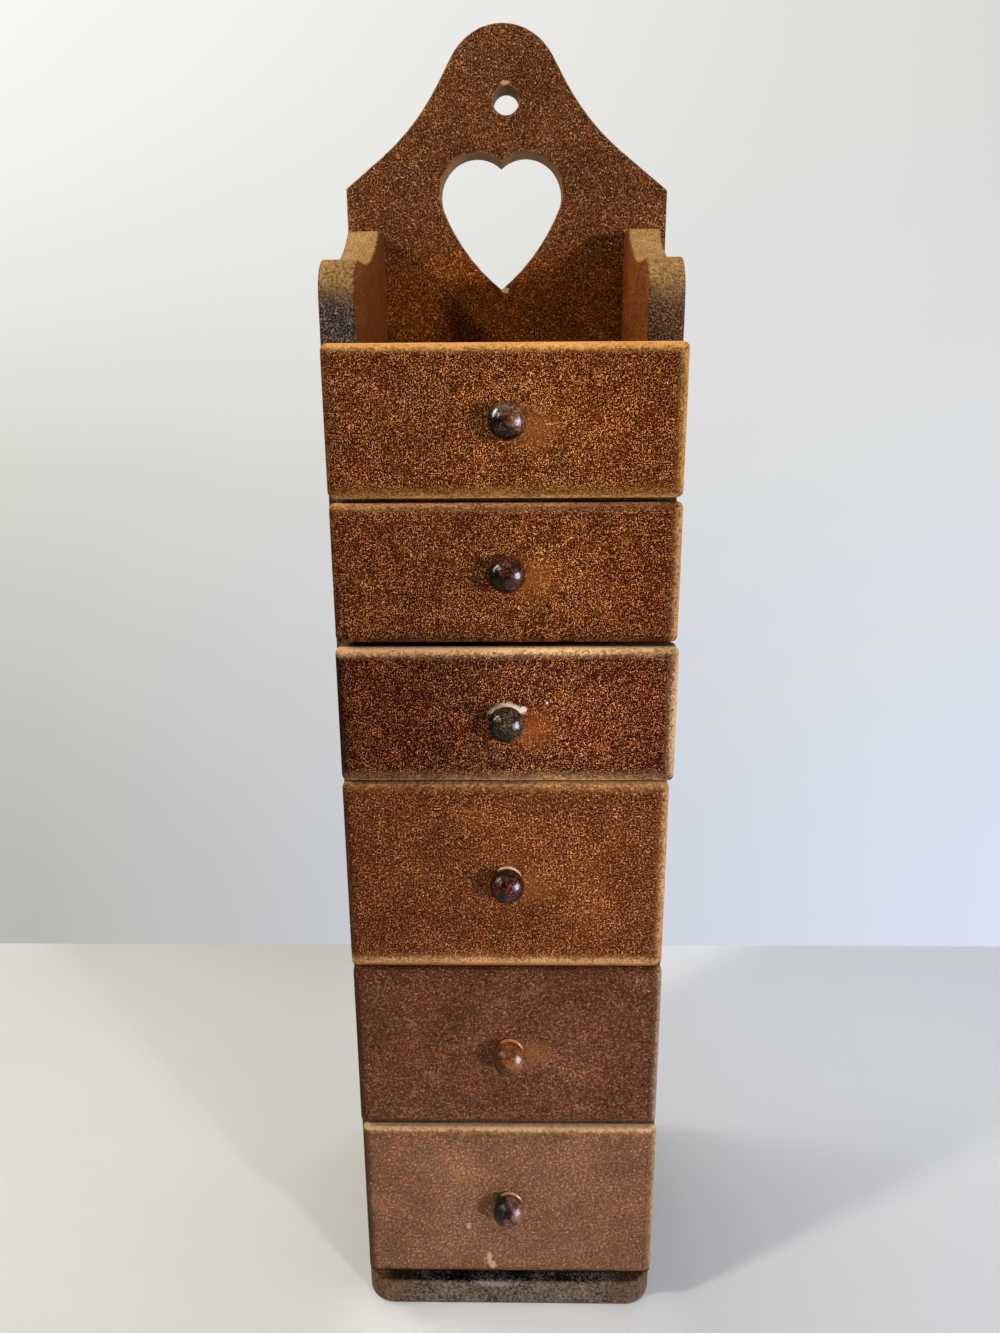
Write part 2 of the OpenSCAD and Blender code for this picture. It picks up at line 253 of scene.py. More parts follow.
cameraLook = {
    "place": (4.17 * mm, -410.86 * mm, 413.99 * mm),
    "yaw": 1.01,       # degrees to the left
    "pitch": 16.368,   # degrees down
    "roll": -0.373,
    "lens": 26.977,
}


def addCamera(look):
    yaw, pitch, roll = (math.radians(look[key]) for key in ("yaw", "pitch", "roll"))
    ahead = Vector((-math.sin(yaw) * math.cos(pitch), math.cos(yaw) * math.cos(pitch), -math.sin(pitch)))
    right = Vector((math.cos(yaw), math.sin(yaw), 0))
    up = right.cross(ahead)
    tiltedRight = math.cos(roll) * right + math.sin(roll) * up
    tiltedUp = math.cos(roll) * up - math.sin(roll) * right
    turn = Matrix((tiltedRight, tiltedUp, -ahead)).transposed().to_4x4()
    bpy.ops.object.select_all(action="DESELECT")
    bpy.ops.object.camera_add()
    camera = bpy.context.object
    camera.matrix_world = Matrix.Translation(look["place"]) @ turn
    camera.data.sensor_width = 36
    camera.data.lens = look["lens"]
    camera.data.clip_start = 0.01
    scene.camera = camera


addCamera(cameraLook)
print("camera placed")


# Lights: a small far window front right, a bulb up on the left, a window to each side, a ceiling
# and two lamps that shine on the knobs alone

lampLook = {
    "window": {"place": (1.29, -1.48, 0.47), "aim": (0, 0, 0.3), "size": (0.16, 0.1), "spread": 1.6,
               "power": 6.3, "colour": paint(240, 241, 255), "gloss": False},
    "sideWindow": {"place": (1.3, -0.3, 0.5), "aim": (0, -0.05, 0.3), "size": (0.8, 0.6), "power": 4.0,
                   "colour": paint(216, 226, 255), "gloss": False},
    "bulb": {"place": (-0.8, -0.5, 1.02), "aim": (0, 0, 0.35), "size": (0.1, 0.1), "power": 6.0,
             "colour": paint(255, 246, 230)},
    "leftWindow": {"place": (-0.69, 0.147, 0.815), "aim": (0, -0.05, 0.3), "size": (0.3, 0.3), "power": 2.6,
                   "colour": paint(255, 252, 244), "gloss": False},
    "ceiling": {"place": (-0.1, -0.15, 1.4), "aim": (0, -0.1, 0), "size": (1.2, 0.6), "power": 5.0,
                "colour": paint(255, 250, 240)},
    "leftSheen": {"place": (-0.66, 0.17, 0.8), "aim": (0, -0.05, 0.35), "size": (0.42, 0.42), "power": 30.0,
                  "colour": paint(255, 252, 244), "diffuse": False},
    "rightSheen": {"place": (1.2, -0.5, 0.26), "aim": (0, -0.05, 0.26), "size": (0.7, 0.8), "power": 90.0,
                   "colour": paint(220, 229, 252), "diffuse": False},
}


def addLamp(name, look):
    bpy.ops.object.select_all(action="DESELECT")
    bpy.ops.object.light_add(type="AREA", location=look["place"])
    lamp = bpy.context.object
    lamp.name = name
    lamp.data.shape = "RECTANGLE"
    lamp.data.size, lamp.data.size_y = look["size"]
    lamp.data.energy = look["power"]
    lamp.data.color = look["colour"][:3]
    lamp.data.spread = look.get("spread", math.pi)
    towards = Vector(look["aim"]) - Vector(look["place"])
    lamp.rotation_euler = towards.to_track_quat("-Z", "Y").to_euler()
    lamp.visible_glossy = look.get("gloss", True)
    lamp.visible_diffuse = look.get("diffuse", True)


for lampName, look in lampLook.items():
    addLamp(lampName, look)

# the room around it is pale, and dim where the photographer stands
roomLook = {
    "dimY": -0.9, "fillBehindCamera": 0.03, "litY": 0.2, "fillAhead": 0.18,
    "tint": paint(240, 243, 255), "seen": paint(226, 227, 229),
}


def lightRoom(look):
    world = bpy.data.worlds.new("room")
    world.use_nodes = True
    scene.world = world
    tree = world.node_tree
    background = tree.nodes["Background"]
    isSeen = tree.nodes.new("ShaderNodeLightPath").outputs["Is Camera Ray"]
    tree.links.new(blendPaint(tree, isSeen, look["tint"], look["seen"]), background.inputs["Color"])
    towards = tree.nodes.new("ShaderNodeTexCoord")
    split = tree.nodes.new("ShaderNodeSeparateXYZ")
    tree.links.new(towards.outputs["Generated"], split.inputs["Vector"])
    fill = spread(tree, split.outputs["Y"], look["dimY"], look["litY"],
                  look["fillBehindCamera"], look["fillAhead"])
    tree.links.new(spread(tree, isSeen, 0, 1, fill, 1.0), background.inputs["Strength"])


lightRoom(roomLook)
print("lights set")


# Floor and backdrop

floorLook = {
    # painted light and shade: left and right paint the table paler and bluer towards the right
    "left": paint(210, 212, 207), "right": paint(223, 227, 228), "halfWidth": 0.14,
    "cloud": paint(218, 221, 226), "cloudScale": 3.0, "cloudShare": 0.2,
    # painted light in front of the cabinet, where its shade falls: a paler paint and a glow for the camera
    "paintedLightCentre": (0, -0.06, 0), "paintedLightRadii": (0.075, 0.03, 0.1), "front": paint(250, 250, 248),
    "paintedLightShare": 0.8, "paintedGlowLift": 0.07,
    "rough": 0.35, "specular": 0.12, "bumpScale": 60.0, "relief": 0.00004,
}


def floorMaterial(look):
    # a white table, with painted light in a patch in front of the cabinet where the cabinet's shade falls: a
    # paler paint and a glow that only the camera sees
    material, tree, shader = startMaterial("whiteTable")
    place = objectCoords(tree)
    # painted light and shade, paler and bluer to the right
    sideways = spread(tree, axisOf(tree, "X"), -look["halfWidth"], look["halfWidth"])
    colour = blendPaint(tree, sideways, look["left"], look["right"])
    cloud = speckle(tree, place, look["cloudScale"], 2.0, (0.35, 0.65), (0, look["cloudShare"]))
    colour = blendPaint(tree, cloud, colour, look["cloud"])
    paintedLightInFront = spot(tree, look["paintedLightCentre"], look["paintedLightRadii"], 0.0)
    paintedLightInFront = spread(tree, paintedLightInFront, 0.3, 1.3, 1.0, 0.0, soft=True)
    colour = blendPaint(tree, times(tree, paintedLightInFront, look["paintedLightShare"]), colour, look["front"])
    tree.links.new(colour, shader.inputs["Base Color"])
    rays = tree.nodes.new("ShaderNodeLightPath")
    paintedGlow = times(tree, times(tree, paintedLightInFront, rays.outputs["Is Camera Ray"]), look["paintedGlowLift"])
    shader.inputs["Emission Color"].default_value = (1, 1, 1, 1)
    tree.links.new(paintedGlow, shader.inputs["Emission Strength"])
    shader.inputs["Roughness"].default_value = look["rough"]
    shader.inputs["Specular IOR Level"].default_value = look["specular"]
    bumpOn(tree, shader, noise(tree, place, look["bumpScale"]), look["relief"], 0.4)
    return material


# the backdrop's painted light and shade, darker low and lighter high, are given at its left and right edges
backdropLook = {
    "foot": 253 * mm, "height": 0.7, "halfWidth": 0.36,
    "low": (paint(186, 185, 180), paint(218, 226, 245)),
    "middle": (paint(214, 213, 206), paint(221, 224, 228)),
    "top": (paint(255, 254, 249), paint(214, 213, 210)),
    "bounced": paint(240, 240, 235), "rough": 0.8,
}


def backdropMaterial(look):
    # glows with its painted light and shade for the camera, pale for the light that bounces off it, clear
    # from behind
    material, tree, shader = startMaterial("paleWall")
    height = spread(tree, axisOf(tree, "Z"), 0.0, look["height"], soft=True)
    sideways = spread(tree, axisOf(tree, "X"), -look["halfWidth"], look["halfWidth"])
    low, middle, top = (blendPaint(tree, sideways, *look[key]) for key in ("low", "middle", "top"))
    lower = blendPaint(tree, spread(tree, height, 0.0, 0.5), low, middle)
    colour = blendPaint(tree, spread(tree, height, 0.5, 1.0), lower, top)
    shader.inputs["Base Color"].default_value = look["bounced"]
    shader.inputs["Roughness"].default_value = look["rough"]
    glowing = tree.nodes.new("ShaderNodeEmission")
    tree.links.new(colour, glowing.inputs["Color"])
    clear = tree.nodes.new("ShaderNodeBsdfTransparent")
    rays = tree.nodes.new("ShaderNodeLightPath").outputs
    seen = calc(tree, "MAXIMUM", rays["Is Glossy Ray"], rays["Is Transmission Ray"])
    seen = calc(tree, "MAXIMUM", rays["Is Camera Ray"], seen)
    backfacing = tree.nodes.new("ShaderNodeNewGeometry").outputs["Backfacing"]

    def mixShaders(share, first, second):
        mix = tree.nodes.new("ShaderNodeMixShader")
        for socket, source in zip(mix.inputs, (share, first.outputs[0], second.outputs[0])):
            tree.links.new(source, socket)
        return mix

    surface = mixShaders(backfacing, mixShaders(seen, shader, glowing), clear)
    tree.links.new(surface.outputs[0], tree.nodes["Material Output"].inputs["Surface"])
    return material


stageSize = 6.0
upright = (math.radians(90), 0, 0)


def addPlane(name, material, place, turn):
    bpy.ops.object.select_all(action="DESELECT")
    bpy.ops.mesh.primitive_plane_add(size=stageSize, location=place, rotation=turn)
    plane = bpy.context.object
    plane.name = name
    bpy.ops.object.transform_apply(location=True, rotation=True, scale=True)
    plane.data.materials.append(material)
    return plane


floor = addPlane("table_floor", floorMaterial(floorLook), (0, 0, 0), (0, 0, 0))
backdrop = addPlane("backdrop", backdropMaterial(backdropLook), (0, backdropLook["foot"], 0), upright)
print("stage laid")


# Stained fibreboard

fibreLook = {
    "layerShift": Vector((0.37, 0.21, 0.53)), "snipShift": Vector((-0.4, -0.7, -0.2)),
    "lineWidth": 0.045, "snipScale": 900.0, "strengthScale": 700.0, "average": 0.08,
    "livelyScale": 240.0, "blotchScale": 55.0, "toneLevel": 0.42, "lightLevel": 0.72,
}


def fibreGrain(tree, look):
    # a fine grit with short curling fibres lying in it, livelier in some patches than in others
    shift = Vector(look["shift"])
    place = objectCoords(tree, shift)
    fibre = 0.0
    for layer in (1, 2):
        moved = objectCoords(tree, shift + layer * fibreLook["layerShift"])
        curl = calc(tree, "ABSOLUTE", minus(tree, noise(tree, moved, look["curl"], 0.0), 0.5))
        line = spread(tree, curl, 0.0, fibreLook["lineWidth"], 1.0, 0.0, soft=True)
        snipPlace = objectCoords(tree, shift + layer * fibreLook["snipShift"])
        snipped = speckle(tree, snipPlace, fibreLook["snipScale"], 0.0, (0.53, 0.63))
        strength = speckle(tree, moved, fibreLook["strengthScale"], 1.0, (0.35, 0.65), (0.4, 1.6))
        fibre = calc(tree, "MAXIMUM", fibre, times(tree, times(tree, line, snipped), strength))
    fine = speckle(tree, place, look["grain"], look["detail"])
    lively = speckle(tree, place, fibreLook["livelyScale"], 1.0, (0.35, 0.65), (0.8, 1.2))
    blotch = speckle(tree, place, fibreLook["blotchScale"], 5.0, to=(-1.0, 1.0), roughness=0.65)
    grit = times(tree, times(tree, minus(tree, fine, 0.5), lively), look["contrast"])
    fibres = times(tree, minus(tree, fibre, fibreLook["average"]), look["fibres"])
    value = plus(tree, plus(tree, grit, fibres), times(tree, blotch, look["mottle"]))
    return plus(tree, value, fibreLook["toneLevel"], clamp=True), fine, place


hueLook = {
    "warm": {"scale": 110.0, "limits": (0.5, 0.68), "tint": (1.25, 0.88, 0.6, 1)},
    "olive": {"scale": 150.0, "limits": (0.52, 0.7), "tint": (0.82, 0.98, 0.65, 1)},
}


def stainColour(tree, look, value, place):
    colour = ramp(tree, value, [(0.0, look["dark"]), (fibreLook["toneLevel"], look["tone"]),
                                (fibreLook["lightLevel"], look["light"]), (1.0, look["bright"])])
    for hue in hueLook.values():
        share = speckle(tree, place, hue["scale"], 2.0, hue["limits"], (0.0, 0.35))
        colour = blendPaint(tree, share, colour, hue["tint"], "MULTIPLY")
    return colour


def wornOrLitColour(tree, look, place, level):
    # bare board, paler the more it is rubbed, and on the fronts' edges also the more painted highlight it
    # takes
    grit = speckle(tree, place, look["grain"] * 0.7, 1.0, to=(-0.42, 0.42), roughness=0.6)
    patchy = speckle(tree, place, 130.0, to=(-0.15, 0.15))
    share = plus(tree, plus(tree, grit, patchy), level, clamp=True)
    return blendPaint(tree, share, paint(*look["wornOrLitDark"]), paint(*look["wornOrLitLight"]))


def finishBoard(tree, shader, look, colour, fine, wornOrLit=0.0):
    tree.links.new(colour, shader.inputs["Base Color"])
    smoothness = spread(tree, fine, 0.0, 1.0, look["rough"] - 0.08, look["rough"] + 0.1)
    tree.links.new(plus(tree, smoothness, times(tree, wornOrLit, 0.15)), shader.inputs["Roughness"])
    shader.inputs["Specular IOR Level"].default_value = look["sheen"]
    bumpOn(tree, shader, fine, look["relief"], 0.6)


boardLook = {
    "shift": (0.3, 0.1, 0.7), "grain": 1700.0, "detail": 0.0, "curl": 1100.0,
    "contrast": 0.62, "fibres": 0.5, "mottle": 0.08,
    "dark": (44, 14, 4), "tone": (88, 47, 23), "light": (136, 90, 54), "bright": (222, 168, 116),
    "wornOrLitDark": (98, 68, 36), "wornOrLitLight": (170, 128, 76), "bareness": 0.5,
    "rough": 0.5, "sheen": 0.03, "relief": 0.00008,
}


sawnLook = {"noise": {"scale": 420.0, "detail": 3.0, "roughness": 0.6}, "ragged": 1.6, "limits": (0.35, 0.65)}


def boardMaterial(name, look, marks=()):
    # a face-stained board whose sawn faces, marked by the attribute sawn, took the stain lighter
    material, tree, shader = startMaterial(name)
    value, fine, place = fibreGrain(tree, look)
    colour = stainColour(tree, look, value, place)
    broken = times(tree, minus(tree, noise(tree, place, **sawnLook["noise"]), 0.5), sawnLook["ragged"])
    sawn = spread(tree, plus(tree, attribute(tree, "sawn"), broken), *sawnLook["limits"])
    height = axisOf(tree, "Z")
    bareness = look["bareness"]
    if "topBareness" in look:
        bareness = spread(tree, height, look["topFrom"], look["topTo"], bareness, look["topBareness"])
    edgeColour = wornOrLitColour(tree, look, place, bareness)
    if "soot" in look:
        wander = speckle(tree, place, 160.0, 3.0, to=(-2.5 * mm, 2.5 * mm), roughness=0.6)
        sooty = spread(tree, plus(tree, height, wander), look["sootFrom"], look["sootTo"], soft=True)
        edgeColour = blendPaint(tree, sooty, edgeColour, ramp(tree, value, look["soot"]))
    colour = blendPaint(tree, sawn, colour, edgeColour)
    # a tint that grows towards the bottom of the board, painted shade on the back board
    if "lowerTint" in look:
        lowerTinted = spread(tree, height, look["lowerTintFrom"], look["lowerTintTo"], soft=True)
        lowerTinted = times(tree, lowerTinted, minus(tree, 1.0, sawn))
        colour = blendPaint(tree, lowerTinted, colour, (*look["lowerTint"], 1), "MULTIPLY")
    for mark in marks:
        inside = spread(tree, spot(tree, mark["centre"], mark["radii"], mark["ragged"]), 0.8, 1.2, 1.0, 0.0)
        colour = blendPaint(tree, times(tree, inside, mark["share"]), colour, paint(*mark["paint"]))
    finishBoard(tree, shader, look, colour, fine, sawn)
    return material


# Drawer fronts

frontLook = {
    "round": 4.5 * mm, "roundSteps": 8, "corner": 2.0 * mm, "cornerSteps": 4, "cornerReach": 2.7 * mm,
    "backEdge": 0.4 * mm, "backSteps": 2, "rough": 0.42, "sheen": 0.04, "relief": 0.0001,
    "wearFalloff": 1.4, "broken": {"scale": 700.0, "detail": 4.0, "to": (0.45, 1.55), "roughness": 0.7},
    "wornOrLit": (0.05, 0.7, 0.0, 0.92), "bare": (0.25, 1.05),
    # painted shade: paintedShade darkens the edges turned from the light, behind the ends in the gaps between
    # the fronts
    "paintedShade": (0.3, 0.27, 0.24, 1), "paintedShadeShare": 0.9, "behind": (24, 13, 9), "behindShare": 0.85,
}
# for each edge how bare it is rubbed and how much painted highlight it takes, at its left or lower end and at
# the other end (below 0 how much painted shade it takes), and how far in that reaches in mm
frontWearAndLight = {
    1: {"top": (1.3, 1.65, 4.5), "bottom": (0.8, 0.8, 6.5),
        "right": (0.98, 0.98, 6.0), "left": (0.25, 0.25, 3.0)},
    2: {"top": (1.0, 0.45, 4.5), "bottom": (-0.2, -0.2, 6.0),
        "right": (1.15, 1.15, 6.0), "left": (-0.2, -0.2, 3.0)},
    3: {"top": (1.5, 1.0, 4.5), "bottom": (0.8, 0.8, 7.0),
        "right": (1.15, 1.15, 6.0), "left": (-1.5, -1.5, 4.5)},
    4: {"top": (0.55, 0.95, 4.5), "bottom": (1.75, 1.75, 9.0),
        "right": (1.15, 1.15, 6.0), "left": (-0.5, -0.5, 4.0)},
    5: {"top": (-0.12, -0.12, 3.0), "bottom": (0.6, 0.6, 6.0),
        "right": (1.05, 1.05, 4.5), "left": (-0.8, -0.8, 4.0)},
    6: {"top": (1.35, 1.7, 2.8), "bottom": (-0.5, -0.5, 4.0),
        "right": (0.8, 0.8, 4.5), "left": (-0.9, -0.9, 4.0)},
}
frontPaint = {
    1: {"grain": 2300.0, "detail": 0.0, "curl": 1500.0, "contrast": 1.05, "fibres": 0.9, "mottle": 0.06,
        "dark": (28, 4, 1), "tone": (74, 28, 7), "light": (124, 69, 30), "bright": (232, 164, 100),
        "wornOrLitDark": (118, 74, 32), "wornOrLitLight": (240, 178, 98)},
    2: {"grain": 2300.0, "detail": 0.0, "curl": 1500.0, "contrast": 1.0, "fibres": 0.85, "mottle": 0.06,
        "dark": (22, 3, 1), "tone": (66, 23, 7), "light": (117, 63, 29), "bright": (230, 162, 99),
        "wornOrLitDark": (110, 68, 34), "wornOrLitLight": (232, 172, 112)},
    3: {"grain": 2300.0, "detail": 0.0, "curl": 1500.0, "contrast": 1.05, "fibres": 0.9, "mottle": 0.06,
        "dark": (12, 2, 1), "tone": (45, 13, 6), "light": (89, 40, 20), "bright": (212, 140, 88),
        "wornOrLitDark": (112, 78, 48), "wornOrLitLight": (238, 192, 138)},
    4: {"grain": 1600.0, "detail": 0.0, "curl": 1000.0, "contrast": 0.72, "fibres": 0.55, "mottle": 0.08,
        "dark": (38, 10, 2), "tone": (88, 41, 17), "light": (140, 86, 48), "bright": (232, 172, 114),
        "wornOrLitDark": (120, 77, 40), "wornOrLitLight": (230, 172, 114)},
    5: {"grain": 1300.0, "detail": 1.0, "curl": 1000.0, "contrast": 0.55, "fibres": 0.35, "mottle": 0.09,
        "dark": (54, 20, 10), "tone": (94, 54, 35), "light": (140, 96, 72), "bright": (210, 166, 136),
        "wornOrLitDark": (116, 80, 58), "wornOrLitLight": (204, 166, 144)},
    6: {"grain": 900.0, "detail": 2.0, "curl": 1000.0, "contrast": 0.5, "fibres": 0.4, "mottle": 0.1,
        "dark": (84, 46, 26), "tone": (126, 86, 60), "light": (166, 124, 96), "bright": (236, 194, 160),
        "wornOrLitDark": (150, 110, 72), "wornOrLitLight": (230, 188, 138)},
}


def modelFront(number, look):
    low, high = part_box(f"drawer_{number}_front")
    front = boxPiece(f"front_{number}", low, high)

    def roundEdges(wanted, width, steps):
        pickEdges(front, wanted)
        bpy.ops.mesh.bevel(offset=width, segments=steps, profile=0.5, affect="EDGES")
        backToObject()

    def onFace(edge):
        return all(vert.co.y < low.y + tiny for vert in edge.verts)

    def onCorner(edge):
        # the mitres where two rounded edges meet, near the corner
        for vert in edge.verts:
            across = min(vert.co.x - low.x, high.x - vert.co.x)
            along = min(vert.co.z - low.z, high.z - vert.co.z)
            if abs(across - along) > tiny or across > look["cornerReach"]:
                return False
        return True

    def onBack(edge):
        return all(vert.co.y > high.y - tiny for vert in edge.verts)

    roundEdges(onFace, look["round"], look["roundSteps"])
    roundEdges(onCorner, look["corner"], look["cornerSteps"])
    roundEdges(onBack, look["backEdge"], look["backSteps"])
    smoothBy(front, 40)
    return front


def edgeLevel(tree, low, high, edgeWearAndLight, shadedEdges):
    # how near the rubbed and lit edges a point lies, or with shadedEdges the edges that take painted shade
    sides = {"top": ("Z", high.z, -1, "X", low.x, high.x), "bottom": ("Z", low.z, 1, "X", low.x, high.x),
             "right": ("X", high.x, -1, "Z", low.z, high.z), "left": ("X", low.x, 1, "Z", low.z, high.z)}
    level = 0.0
    for side, (axis, edge, inwards, along, start, end) in sides.items():
        weight, farWeight, reach = edgeWearAndLight[side]
        if (weight < 0) == shadedEdges:
            nearness = spread(tree, axisOf(tree, axis), edge + inwards * reach * mm, edge)
            nearness = calc(tree, "POWER", nearness, frontLook["wearFalloff"])
            weighed = spread(tree, axisOf(tree, along), start, end, abs(weight), abs(farWeight))
            level = calc(tree, "MAXIMUM", level, times(tree, nearness, weighed))
    return level


def frontMaterial(number, look, tones, edgeWearAndLight, marks):
    look = {**look, **tones, "shift": (0.13 * number, 0.31 * number, 0.07 * number)}
    low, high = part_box(f"drawer_{number}_front")
    material, tree, shader = startMaterial(f"frontStain{number}")
    value, fine, place = fibreGrain(tree, look)
    colour = stainColour(tree, look, value, place)
    # painted shade: the edges turned from the light, under an overhanging front or facing down are darkened
    shadedEdges = spread(tree, edgeLevel(tree, low, high, edgeWearAndLight, True), 0.0, 1.0, 0.0, look["paintedShadeShare"])
    colour = blendPaint(tree, shadedEdges, colour, look["paintedShade"], "MULTIPLY")
    broken = speckle(tree, place, **look["broken"])
    # rubbed bare and painted highlight: the top and right edges are paler where they are worn and where the
    # light from above and the right falls
    rubbingOrLight = times(tree, edgeLevel(tree, low, high, edgeWearAndLight, False), broken)
    wornOrLit = spread(tree, rubbingOrLight, *look["wornOrLit"])
    bare = spread(tree, rubbingOrLight, *look["bare"])
    colour = blendPaint(tree, wornOrLit, colour, wornOrLitColour(tree, look, place, bare))
    # painted shade: the ends behind the rounded edges are painted dark, as the gaps between the fronts shade
    # them
    behind = spread(tree, axisOf(tree, "Y"), low.y + look["round"] * 0.9, low.y + look["round"] * 1.2)
    colour = blendPaint(tree, times(tree, behind, look["behindShare"]), colour, paint(*look["behind"]))
    for mark in marks:
        shape = spot(tree, mark["centre"], mark["radii"], mark["ragged"])
        inside = spread(tree, shape, mark.get("inner", 0.8), 1.2, mark["share"], 0.0)
        if "above" in mark:
            cutOff = mark["above"] * mm
            above = spread(tree, axisOf(tree, "Z"), cutOff - 0.5 * mm, cutOff + 0.5 * mm)
            inside = times(tree, inside, above)
        if "gain" in mark:
            colour = blendPaint(tree, inside, colour, (*mark["gain"], 1), "MULTIPLY")
        else:
            colour = blendPaint(tree, inside, colour, paint(*mark["paint"]))
    finishBoard(tree, shader, look, colour, fine, wornOrLit)
    return material


def frontMark(x, z, across, up, share, ragged, **more):
    # an oval of paint or gain on the fronts' face, places and radii in mm
    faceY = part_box("drawer_1_front")[0].y
    return {"centre": (x * mm, faceY, z * mm), "radii": (across * mm, 6 * mm, up * mm),
            "share": share, "ragged": ragged, **more}


def sheenShadeOrRubbedPatch(x, z, across, up, gain):
    # a patch of multiplied gain: the wide ones beside the knobs are painted sheen, or with a gain below 1
    # painted shade; the small one on D6 is a rubbed patch where the stain is thinner, the small ones on D4
    # are paler and bluer
    return frontMark(x, z, across, up, 1.0, 0.12, inner=0.0, gain=gain)


def paintedSheenPatch(z, colour, share):
    # painted sheen: the orange patch beside a knob where the satin finish reflects the light from the right
    return frontMark(9.5, z, 10, 8.5, share, 0.3, inner=0.1, paint=colour)


def chip(x, z, across, up, colour, share=1.0, ragged=0.1):
    return frontMark(x, z, across, up, share, ragged, paint=colour)


cream = (236, 226, 200)
# painted sheen and painted shade: the wide gains beside each knob and the finger patches stand in for the
# satin finish reflecting the light from the right
frontMarks = {
    1: [sheenShadeOrRubbedPatch(16, 396, 38, 30, (1.55, 1.55, 1.4)),
        sheenShadeOrRubbedPatch(48, 397, 26, 40, (0.96, 0.88, 0.8)),
        paintedSheenPatch(395, (170, 98, 42), 0.55),
        chip(15.4, 397, 1.4, 0.3, (206, 150, 100), 0.9, 0.4)],
    2: [sheenShadeOrRubbedPatch(16, 343, 38, 28, (1.7, 1.75, 1.55)),
        sheenShadeOrRubbedPatch(48, 343, 26, 40, (0.96, 0.88, 0.82)),
        paintedSheenPatch(342, (162, 88, 34), 0.6)],
    3: [sheenShadeOrRubbedPatch(22, 288, 42, 38, (2.3, 2.5, 2.4)),
        sheenShadeOrRubbedPatch(46, 288, 26, 40, (0.94, 0.86, 0.82)),
        sheenShadeOrRubbedPatch(-46, 288, 24, 40, (0.92, 0.8, 0.78)),
        paintedSheenPatch(284, (164, 84, 36), 0.65),
        frontMark(0.3, 286.6, 7.4, 7.3, 1.0, 0.05, inner=1.0, above=290.8, paint=cream),
        chip(6.6, 292.4, 1.2, 1.1, cream, ragged=0.3),
        chip(15.5, 294.9, 0.4, 0.5, (240, 236, 225))],
    4: [sheenShadeOrRubbedPatch(22, 221, 46, 40, (1.6, 1.6, 1.5)),
        paintedSheenPatch(217, (146, 84, 42), 0.5),
        sheenShadeOrRubbedPatch(-31, 194, 12, 8, (1.3, 1.35, 1.5)),
        sheenShadeOrRubbedPatch(-14, 187, 9, 6, (1.5, 1.5, 1.6)),
        sheenShadeOrRubbedPatch(-6, 247, 12, 7, (1.3, 1.35, 1.3))],
    5: [sheenShadeOrRubbedPatch(14, 138, 34, 32, (1.35, 1.4, 1.45)),
        paintedSheenPatch(139, (158, 96, 56), 0.5)],
    6: [sheenShadeOrRubbedPatch(2, 62, 40, 44, (1.12, 1.14, 1.15)),
        sheenShadeOrRubbedPatch(-21, 80, 9, 14, (1.25, 1.22, 1.15)),
        chip(-8.6, 31.5, 1.2, 3.0, (205, 172, 140), 0.85, 0.6),
        chip(-7.0, 27.6, 1.2, 2.0, (205, 172, 140), 0.85, 0.6),
        chip(-17.6, 49.4, 1.0, 1.6, (200, 166, 132), 0.8, 0.5)],
}

for number in drawerNumbers:
    front = modelFront(number, frontLook)
    material = frontMaterial(number, frontLook, frontPaint[number], frontWearAndLight[number], frontMarks[number])
    finishPiece(front, f"drawer_{number}", material, "front_stain", f"drawer_{number}_front")
print("drawer fronts modelled")


# Knobs

knobLook = {
    "ball": 6.75 * mm, "reach": 12.4 * mm, "segments": 48, "rings": 32,
    "foot": 6.0 * mm, "footThick": 1.6 * mm, "footSteps": 6, "neck": 5.0 * mm,
    "tenon": 3.175 * mm, "tenonLength": 9.0 * mm, "tenonEase": 0.4 * mm,
}


def knobProfile(look):
    # radius and Y of the rings from the neck under the ball over the rounded foot to the tenon's end
    thick, ease = look["footThick"], look["tenonEase"]
    turn = thick / 2
    steps = [(look["neck"], -thick - 0.1 * mm), (look["foot"] - turn * 0.6, -thick)]
    for part in range(1, look["footSteps"] + 1):
        angle = math.pi / 2 - math.pi * part / look["footSteps"]
        steps.append((look["foot"] - turn + turn * math.cos(angle), -turn - turn * math.sin(angle)))
    return steps + [(look["tenon"], 0.0), (look["tenon"], look["tenonLength"] - ease),
                    (look["tenon"] - ease, look["tenonLength"])]


